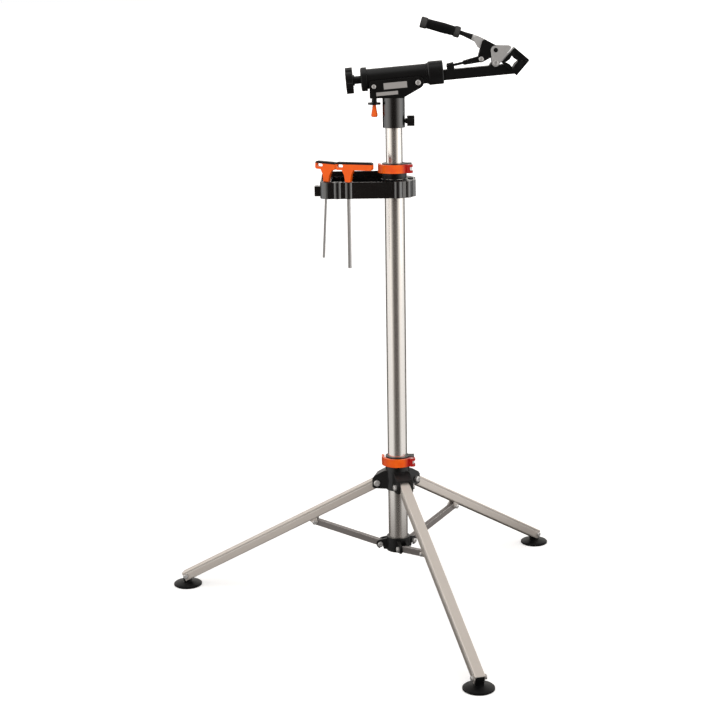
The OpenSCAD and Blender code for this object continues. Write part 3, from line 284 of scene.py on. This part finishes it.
wall_height, wall_thick, tolerance = 0.0094, 0.0025, 1e-5
mast = Vector((*joints["head_swivel"]["pos_m"][:2], 0))
tray = nodes["tool_tray"].data
tray_points = corners_of(tray)
rim_height = tray_points[:, 2].max()
rim_left = tray_points[tray_points[:, 2] > rim_height - tolerance, 0].min()
tray_edges = tray_points[np.array([e.vertices for e in tray.edges])]
on_rim = (tray_edges[..., 2] > rim_height - tolerance).all(axis=1)
far_edges = tray_edges[on_rim & (tray_edges[..., 1] > mast.y).all(axis=1)]
longest = np.linalg.norm(far_edges[:, 0] - far_edges[:, 1], axis=1).argmax()
far_side = far_edges[longest, 0, 1]
straight = tray_points[np.abs(tray_points[:, 1] - far_side) < tolerance, 0]
corner_radius = straight.min() - rim_left
run = np.linspace(straight.max(), straight.min(), 25)
bend = np.linspace(0, math.pi / 2, 13)[1:]
outward = np.array([(0, 1, 0)] * len(run) + [(-math.sin(t), math.cos(t), 0) for t in bend])
bend_centres = np.full((len(outward), 3), (straight.min(), far_side - corner_radius, rim_height))
bend_centres[:len(run), 0] = run
wall_path = bend_centres + (corner_radius - wall_thick / 2) * outward
wall_points, wall_faces = raised_wall(wall_path, outward, wall_height, wall_thick)
tray_back_wall = new_piece("tray_back_wall", wall_points, wall_faces, tray_nylon)
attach(tray_back_wall, nodes["tool_tray"]["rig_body"])

# Legs and struts: drawn aluminium, a duller warm grey than the mast, with lines along each leg.
# The struts are a darker grey.
leg_grey, leg_edge = (0.74, 0.675, 0.615), 0.0026
strut_grey, strut_edge = (0.28, 0.255, 0.245), 0.0015
low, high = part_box("lower_hub")
inner = (low + high) / 2
for i in (1, 2, 3):
    hip, toe = (Vector(joints[key]["pos_m"]) for key in (f"leg_{i}_fold", f"foot_{i}_tilt"))
    knee = Vector(joints[f"strut_{i}_fold"]["pos_m"])
    dress(anodised(f"leg_anodised_{i}", toe - hip, leg_grey, 0.34, 0.6, leg_edge), f"leg_tube_{i}")
    dress(anodised(f"strut_anodised_{i}", knee - inner, strut_grey, 0.4, 0.55, strut_edge), f"strut_{i}")


# Bolts and pins: zinc-plated steel with button heads, each with a hexagon socket.
# The heads stand on the plain heads of the CAD bolts.
def plated(name, tint=(0.72, 0.705, 0.69), rough=0.22, metal=1.0):
    """Plated or cast metal with fine spots and a painted highlight along its edges."""
    mat, place, corner, feed = finish_of(name, Metallic=metal)
    edge_highlight_bright = (0.9, 0.89, 0.88)
    spots = place.noise(800, 4)
    cloud = place.noise(150, 3)
    colour = cloud.mix(tint, [c * 0.8 for c in tint])
    # The edges are painted pale as a highlight.
    feed(spots, 0.00003, Base_Color=(corner * 0.7).mix(colour, edge_highlight_bright),
         Roughness=spots * 0.12 + cloud * 0.1 + rough)
    return mat


def socket_heads(name, node, mat, spots):
    """Button heads on both ends of a CAD bolt along each (point, axis) line.

    A head is a grid of rings round its axis. For a CAD head of radius R and a dome of height H, they have the
    radius R cos t and the height H sin t up the dome. The socket's rings follow, with the radius
    flat / cos(angle to the nearest flat), down to a point in the middle of its floor.
    """
    reach, skirt, dome, lip, floor_height = 0.009, 0.0006, 0.0013, 0.0001, 0.00012
    oversize, flat = 1.02, 0.42
    climb = np.radians((0, 20, 40, 56))
    angle = np.linspace(0, 2 * math.pi, 36, endpoint=False)
    hexagon = flat / np.cos((angle + math.pi / 6) % (math.pi / 3) - math.pi / 6)
    round_rings = np.outer(oversize * np.cos([0, *climb]), np.ones_like(angle))
    widths = np.vstack([round_rings, np.outer((1.06, 1.0, 0.97), hexagon)])
    dome_heights = dome * np.sin(climb) / math.sin(climb[-1])
    heights = np.array([-skirt, *dome_heights, dome, dome - lip, floor_height])
    n, rings = len(angle), len(heights)
    this = np.arange(n)
    following = (this + 1) % n
    start = n * np.arange(rings - 1)[:, None]
    quads = np.stack([start + this, start + following, start + n + following, start + n + this], axis=-1)
    last = n * (rings - 1)
    fan = np.stack([last + this, last + following, np.full(n, last + n)], axis=-1)
    co = corners_of(nodes[node].data)
    grids, faces = [], []
    for at, axis in spots:
        at, axis = np.array(at), np.array(axis) / np.linalg.norm(axis)
        side = np.cross(axis, (0.3, 0.2, 1.0))
        side /= np.linalg.norm(side)
        other = np.cross(axis, side)
        round_about = np.cos(angle)[:, None] * side + np.sin(angle)[:, None] * other
        along = (co - at) @ axis
        off = np.linalg.norm(co - at - along[:, None] * axis, axis=1)
        near = off < reach
        for sign in (1, -1):
            end = (along[near] * sign).max()
            radius = off[near & (along * sign > end - 1e-4)].max()
            middle = at + sign * (end + heights)[:, None] * axis
            grid = middle[:, None, :] + radius * widths[..., None] * round_about
            first = len(grids) * (n * rings + 1)
            grids.append(np.vstack([grid.reshape(-1, 3), middle[-1]]))
            faces += (first + quads.reshape(-1, 4))[:, ::sign].tolist() + (first + fan)[:, ::sign].tolist()
    heads = new_piece(name, np.concatenate(grids), faces, mat)
    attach(heads, nodes[node]["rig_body"])


zinc = plated("zinc_plated", metal=0.7)
dress(zinc, "mast_clamp_bolt", "hub_clamp_bolt", "leg_pivot_bolts", *[f"leg_pins_{i}" for i in (1, 2, 3)],
      *[f"strut_bolt_{i}" for i in (1, 2, 3)])
socket_heads("leg_pivot_heads", "leg_pivot_bolts", zinc,
             [(joints[f"leg_{i}_fold"]["pos_m"], joints[f"leg_{i}_fold"]["axis"]) for i in (1, 2, 3)])
for i in (1, 2, 3):
    axis = joints[f"foot_{i}_tilt"]["axis"]
    socket_heads(f"leg_pin_heads_{i}", f"leg_pins_{i}", zinc,
                 [(joints[f"foot_{i}_tilt"]["pos_m"], axis), (joints[f"strut_{i}_fold"]["pos_m"], axis)])
    low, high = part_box(f"strut_bolt_{i}")
    socket_heads(f"strut_bolt_heads_{i}", f"strut_bolt_{i}", zinc, [((low + high) / 2, axis)])


# Feet: round pads of black rubber, matte with a soft bloom.
# Each swings on a pin in the end of its leg.
def rubber(name, base=(0.002, 0.002, 0.0022), rough=0.38, ribs=None):
    """Black rubber with a painted highlight along its edges. ribs: (start, direction, pitch, bands) gives
    grooves across a direction in the bands, painted paler there as a highlight.
    """
    mat, place, corner, feed = finish_of(name, 0.0008, Specular_IOR_Level=0.22)
    bloom_and_highlight_grey = (0.05, 0.049, 0.048)
    grain = place.noise(1200, 3)
    bloom = place.noise(80, 5, 0.65).ramp(0.4, 0.8)
    # pale: the rubber's bloom, and a painted highlight along the edges.
    height, pale = grain * 0.2, bloom * 0.12 + corner * 0.2
    if ribs:
        start, direction, pitch, bands = ribs
        run = place.along(start, direction)
        inside = sum(run.band(low, high, 0.0004) for low, high in bands)
        wave = (run * (2 * math.pi / pitch)).calc("SINE") * 0.5 + 0.5
        # Painted highlight: the ribbed bands are paler, most of all on the rib crests.
        height, pale = height + inside * wave, pale + inside * (0.6 + wave)
    feed(height, 0.0003, Base_Color=pale.mix(base, bloom_and_highlight_grey), Roughness=grain * 0.1 + bloom * 0.1 + rough)
    return mat


dress(rubber("foot_rubber"), "foot_1", "foot_2", "foot_3")


# Clamp levers on the collar and on the hub: glossy orange plastic bands, painted dark red round the pin as
# shade.
# The grip of the fold lock is the same plastic.
def orange_plastic(name, pin=None):
    """Orange plastic with a painted highlight along its edges. pin: the place of a lever's pin, round which a
    painted shade makes it dark red.
    """
    mat, place, corner, feed = finish_of(name, 0.0007, Specular_IOR_Level=0.25, Coat_Weight=0.06,
                                         Coat_Roughness=0.15)
    pin_shade_red, edge_highlight_orange = (0.42, 0.006, 0.004), (1.0, 0.28, 0.06)
    pin_shade_radius, pin_shade_fade = 0.008, 0.021
    cloud = place.noise(55, 3)
    scuff = place.noise(420, 5, 0.7).ramp(0.58, 0.8)
    colour = cloud.ramp(0.3, 0.7).mix((0.92, 0.13, 0.006), (0.84, 0.085, 0.003))
    if pin:
        # Painted shade: the band turns dark red round the pin.
        near = place.vector("MULTIPLY", (1, 1, 0)).vector("DISTANCE", (pin[0], pin[1], 0), out=1)
        colour = (1 - near.ramp(pin_shade_radius, pin_shade_fade)).mix(colour, pin_shade_red)
    # Painted highlight: the edges are paler orange.
    colour = (corner * 0.35).mix(colour, edge_highlight_orange)
    feed(scuff * 0.6 + cloud * 0.4, 0.00008, Base_Color=colour,
         Roughness=scuff * 0.25 + cloud * 0.08 + 0.26)
    return mat


for name in ("mast_lever", "hub_lever"):
    dress(orange_plastic(f"{name}_orange", joints[f"{name}_swing"]["pos_m"]), name)
dress(orange_plastic("lock_grip_orange"), "fold_lock_grip")

# Hex keys in the tray: steel blades in orange handles, with a soft black strip along each handle's top.
# One material per key tells blade, handle and strip apart by height and by the handle's own direction.
key_turn = math.radians(-19)
small_key_lean = math.radians(3.5)


def key_finish(name, node, lean):
    """Steel below the tray's rim, orange above it with a painted highlight along its edges, and black along
    the top.
    """
    mat, place, corner, feed = finish_of(name, 0.0006, Specular_IOR_Level=0.25, Coat_Roughness=0.15)
    blade_steel, strip_black, edge_highlight_orange = (0.34, 0.33, 0.325), (0.003, 0.003, 0.0035), (1.0, 0.28, 0.06)
    seam_low, seam_high = 0.0044, 0.0040
    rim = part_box("tool_tray")[1].z
    up = (math.sin(lean) * math.cos(key_turn), math.sin(lean) * math.sin(key_turn), math.cos(lean))
    top = (corners_of(nodes[node].data) @ np.array(up)).max()
    height = place.along((0, 0, 0), up)
    steel = 1 - place.along((0, 0, rim), (0, 0, 1)).ramp(-0.0001, 0.0002)
    strip = height.ramp(top - seam_low, top - seam_high)
    cloud = place.noise(70, 4)
    scuff = place.noise(500, 5, 0.7).ramp(0.55, 0.8)
    handle = strip.mix(cloud.mix((0.93, 0.14, 0.006), (0.86, 0.09, 0.003)), strip_black)
    # Painted highlight: the orange edges are paler.
    handle = (corner * (1 - strip) * 0.35).mix(handle, edge_highlight_orange)
    feed(scuff * 0.5 + cloud * 0.5, 0.00006, Base_Color=steel.mix(handle, blade_steel), Metallic=steel,
         Roughness=scuff * 0.2 + cloud * 0.1 + steel * 0.04 + 0.24,
         Coat_Weight=(1 - steel) * (1 - strip) * 0.06)
    return mat


dress(key_finish("large_key", "large_hex_key", 0.0), "large_hex_key")
dress(key_finish("small_key", "small_hex_key", small_key_lean), "small_hex_key")

# Head: a steel sleeve on the upper tube and a folded bracket, black powder coat with a slight orange peel.
# The bracket's cheeks carry two plain pale bars.
arm_at = Vector(joints["arm_rotation"]["pos_m"])
arm_along = Vector(joints["arm_rotation"]["axis"]).normalized()
arm_up = Vector((-arm_along.z, 0, arm_along.x))
wide_bar = ((-0.019, -0.0205), (0.024, -0.0095))
small_bar = ((-0.034, -0.0315), (0.006, -0.0255))


def powder_coat(name, base=(0.0018, 0.0018, 0.002), rough=0.25, gloss=0.45, bars=None, thread=None):
    """Black powder coat, paler where it is rubbed and along its edges, where a highlight is painted.

    bars: pale bars as [(low, high)] corners, each along and above the arm. thread: (start, direction, bands).
    """
    mat, place, corner, feed = finish_of(name, 0.0006, Specular_IOR_Level=gloss, IOR=1.3 + 0.4 * gloss)
    rub_and_highlight_grey, bar_grey = (0.04, 0.039, 0.038), (0.30, 0.285, 0.275)
    thread_pitch = 0.00125
    peel = place.noise(650, 2)
    cloud = place.noise(45, 4)
    rub = place.noise(260, 6, 0.75).ramp(0.66, 0.8)
    # Pale mix: rubbed spots, a random cloud, and a painted highlight along the edges.
    colour = (rub * 0.15 + cloud * 0.06 + corner * 0.5).mix(base, rub_and_highlight_grey)
    height = peel * 0.3
    if bars:
        x, z = (place.along(arm_at, d) for d in (arm_along, arm_up))
        barred = sum(x.band(a[0], b[0], 0.0006) * z.band(a[1], b[1], 0.0006) for a, b in bars)
        colour = (barred * (1 - rub)).mix(colour, bar_grey)
    if thread:
        start, direction, bands = thread
        run = place.along(start, direction)
        turns = (run * (2 * math.pi / thread_pitch)).calc("SINE")
        height = height + sum(run.band(*ends, 0.0003) for ends in bands) * turns
    feed(height, 0.0003, Base_Color=colour, Roughness=peel * 0.06 + cloud * 0.1 + rub * 0.1 + rough)
    return mat


coat = powder_coat("powder_coat")
dress(powder_coat("sleeve_coat", (0.0015, 0.0014, 0.0013), 0.1, 0.9), "head_sleeve")
dress(coat, "arm_housing", "front_collar", "arm_beam", "upper_jaw_back", "lever_cheeks", "link_saddle",
      "lever_pin", "thrust_washer")
dress(powder_coat("bracket_coat", bars=[wide_bar, small_bar]), "head_bracket")
dress(powder_coat("lock_screw_coat"), "fold_lock_screw")
dress(zinc, "fold_pivot_screws", "guide_screws", "arm_shaft", "housing_bushes")
for node in ("fold_pivot_screws", "guide_screws"):
    low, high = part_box(node)
    socket_heads(f"{node}_heads", node, zinc, [((low + high) / 2, (0, 1, 0))])

# Rear cap, knobs and adjuster wheel: moulded nylon, a little glossier where hands polish it.
# The knobs sit on the heads of their screws, and the wheel on the toggle link's rod.
polished = nylon("handled_nylon", rough=0.24)
dress(polished, "rear_cap", "rotation_knob", "draw_bolt", "head_lock_knob", "adjuster_wheel")

# Jaws: satin aluminium side plates, black backs and rubber pads with a fine grain.
# The pin heads are zinc-plated.
cast = plated("cast_silver", (0.68, 0.67, 0.66), 0.34, 0.65)
dress(cast, "upper_jaw_plates")
dress(rubber("pad_rubber"), "lower_jaw_pad", "upper_jaw_pad")
dress(zinc, "jaw_pivot_pin", "link_pin")
for node in ("jaw_pivot_pin", "link_pin"):
    low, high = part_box(node)
    socket_heads(f"{node}_heads", node, zinc, [((low + high) / 2, (0, 1, 0))])

# Clamp lever: a silver casting whose neck and rod are painted black, and a rubber grip with ribbed ends.
# The toggle link's rod is threaded.
neck_back, neck_rise, neck_length = 0.035, 0.024, 0.028
neck_angle, grip_angle = math.radians(154), math.radians(159.5)
rib_pitch, rib_bands = 0.0021, [(0.0045, 0.013), (0.068, 0.0775)]
thread_back, plain_end = 0.009, 0.036
cast_light, cast_dark, cast_edge_highlight = (0.66, 0.65, 0.64), (0.54, 0.53, 0.52), (0.9, 0.89, 0.88)
paint_black = (0.003, 0.003, 0.0034)
neck = Vector(joints["lever_swing"]["pos_m"]) - arm_along * neck_back + arm_up * neck_rise
neck_along = arm_along * math.cos(neck_angle) + arm_up * math.sin(neck_angle)
grip_along = arm_along * math.cos(grip_angle) + arm_up * math.sin(grip_angle)
lever_mat, place, corner, feed = finish_of("lever_casting_paint", 0.0008)
spots, cloud = place.noise(700, 4), place.noise(120, 3)
painted = place.along(neck, neck_along).ramp(0.0065, 0.0075)
# The bare casting's edges are painted pale as a highlight.
bare = (corner * 0.7).mix(cloud.mix(cast_light, cast_dark), cast_edge_highlight)
feed(spots, 0.00006, Base_Color=painted.mix(bare, paint_black),
     Metallic=(1 - painted) * 0.5, Roughness=spots * 0.1 + cloud * 0.1 + 0.26)
dress(lever_mat, "lever_casting")
# The grip's ribbed bands carry a painted highlight, paler on the rib crests.
grip_ribs = (neck + neck_along * neck_length, grip_along, rib_pitch, rib_bands)
dress(rubber("grip_rubber", rough=0.36, ribs=grip_ribs), "lever_grip")
wheel_low, wheel_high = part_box("adjuster_wheel")
wheel = (wheel_low + wheel_high) / 2
link = Vector(joints["link_swing"]["pos_m"]) - wheel
link_thread = (wheel, link.normalized(), [(-thread_back, link.length - plain_end)])
dress(powder_coat("link_coat", thread=link_thread), "toggle_link")


# Studio: a pale floor that ends in front of the stand, where the room is dark, and white walls at the sides.
# The bright tubes keep a dark streak from the room, and the background is white to the camera.
def is_ray(field, kind):
    """1 for the rays of a kind, such as Camera, and 0 for the others."""
    return field.node("ShaderNodeLightPath", out=f"Is {kind} Ray")


floor_near, floor_far, half_near, half_far = -1.3, 90, 30, 60
paper_dark, paper_light, unseen_floor = (0.80, 0.79, 0.78), (0.82, 0.81, 0.80), (0.06, 0.055, 0.05)
floor_mat, place, _, feed = finish_of("floor_paper", Specular_IOR_Level=0.0, Emission_Strength=1.0)
paper = place.noise(300, 3)
seen = is_ray(place, "Camera") + is_ray(place, "Transmission")
out_from = place.vector("SUBTRACT", tuple(mast))
away = out_from.vector("LENGTH", out=1)
front = out_from.vector("NORMALIZE").along((0, 0, 0), (0, -1, 0))
# In reflections the floor glows as painted light: bright to the sides and far off, dark in front, and dark
# near the stand as a painted shadow. To rays other than camera and transmission rays its colour is a dark
# grey.
glow_beside = front.ramp(-0.7, -0.3) * (1 - front.ramp(0.58, 1.0))
reflected_glow_and_shadow = (away.ramp(0.1, 1.0) * 0.85 + away.ramp(1.0, 5.0) * 0.38) * glow_beside
glow = seen * (away.ramp(2.0, 12.0) * 0.4 + 0.42) + is_ray(place, "Glossy") * reflected_glow_and_shadow
feed(paper, 0.00005, Base_Color=seen.mix(unseen_floor, paper.mix(paper_dark, paper_light)),
     Emission_Color=glow.mix((0, 0, 0), (1, 1, 1)), Roughness=paper * 0.05 + 0.9)
floor_corners = ((-half_near, floor_near, 0), (half_near, floor_near, 0), (half_far, floor_far, 0),
                 (-half_far, floor_far, 0))
floor = new_piece("floor", [tuple(mast + Vector(p)) for p in floor_corners], [(0, 1, 2, 3)], floor_mat)
floor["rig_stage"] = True

room_dark, room_white, room_back = (0.04, 0.03, 0.025), (1.15, 1.11, 1.06), (0.2, 0.19, 0.18)
zenith, ambient_low, ambient_high = (0.28, 0.27, 0.26), (0.14, 0.135, 0.13), (1.5, 1.47, 1.44)
ambient_from = (0.05, -0.84, 0.54)
world = bpy.data.worlds.new("studio")
world.use_nodes = True
bpy.context.scene.world = world
sky = Field(world.node_tree, world.node_tree.nodes.new("ShaderNodeTexCoord").outputs["Generated"])
heading = sky.vector("MULTIPLY", (1, 1, 0)).vector("NORMALIZE")
ahead = heading.along((0, 0, 0), (0, -1, 0))
rise = sky.along((0, 0, 0), (0, 0, 1))
beside = (1 - ahead.ramp(0.58, 1.0)) * (1 - rise.ramp(0.5, 0.7))
behind_low = (1 - ahead.ramp(-0.75, -0.55)) * (1 - rise.ramp(-0.08, -0.02))
room = behind_low.mix(beside.mix(room_dark, room_white), room_back)
room = rise.ramp(0.6, 0.85).mix(room, zenith)
ambient = sky.along((0, 0, 0), ambient_from).ramp(-0.2, 0.95).mix(ambient_low, ambient_high)
mirrored = (is_ray(sky, "Glossy") + is_ray(sky, "Transmission")).calc("MINIMUM", 1.0)
light = is_ray(sky, "Camera").mix(mirrored.mix(ambient, room), (1, 1, 1))
world.node_tree.links.new(light.socket, world.node_tree.nodes["Background"].inputs["Color"])

for name, at, aim, size, bright in (("left_panel", (-2.4, -0.5, 1.5), (0, 0, 0.8), (1.4, 1.8), 0.4),
                                    ("right_panel", (2.4, -0.5, 1.3), (0, 0, 0.8), (1.6, 2.2), 0.6),
                                    ("top_panel", (-0.3, 0.2, 3.2), (0, 0, 0.5), (2.6, 2.0), 0.5)):
    data = bpy.data.lights.new(name, "AREA")
    data.shape, data.size, data.size_y = "RECTANGLE", *size
    data.energy = bright * math.pi * size[0] * size[1]
    lamp = bpy.data.objects.new(name, data)
    lamp.location = mast + Vector(at)
    lamp.rotation_euler = (Vector(aim) - Vector(at)).to_track_quat("-Z", "Y").to_euler()
    bpy.context.scene.collection.objects.link(lamp)

# Camera: fitted to the mast, the feet and the floor.
# It stands in front of the mast and looks down at it, with a lens given in pixels of the picture.
yaw, roll = -0.0230, -0.0163
eye_back, eye_height, aim_height = 3.0844, 1.2259, 0.4979
focal_pixels, picture_pixels = 1626.31, 720
view_along = Vector((math.sin(yaw), math.cos(yaw), (aim_height - eye_height) / eye_back)).normalized()
right = view_along.cross(Vector((0, 0, 1))).normalized()
up = right.cross(view_along)
right, up = math.cos(roll) * right + math.sin(roll) * up, -math.sin(roll) * right + math.cos(roll) * up
pose = Matrix((right, up, -view_along)).transposed().to_4x4()
pose.translation = mast + Vector((0, -eye_back, eye_height))
lens = bpy.data.cameras.new("camera")
lens.sensor_width = 36
lens.lens = focal_pixels * lens.sensor_width / picture_pixels
lens.clip_end = 300
camera = bpy.data.objects.new("camera", lens)
camera.matrix_world = pose
bpy.context.scene.collection.objects.link(camera)
bpy.context.scene.camera = camera
bpy.context.scene.view_settings.view_transform = "Standard"

low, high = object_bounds()
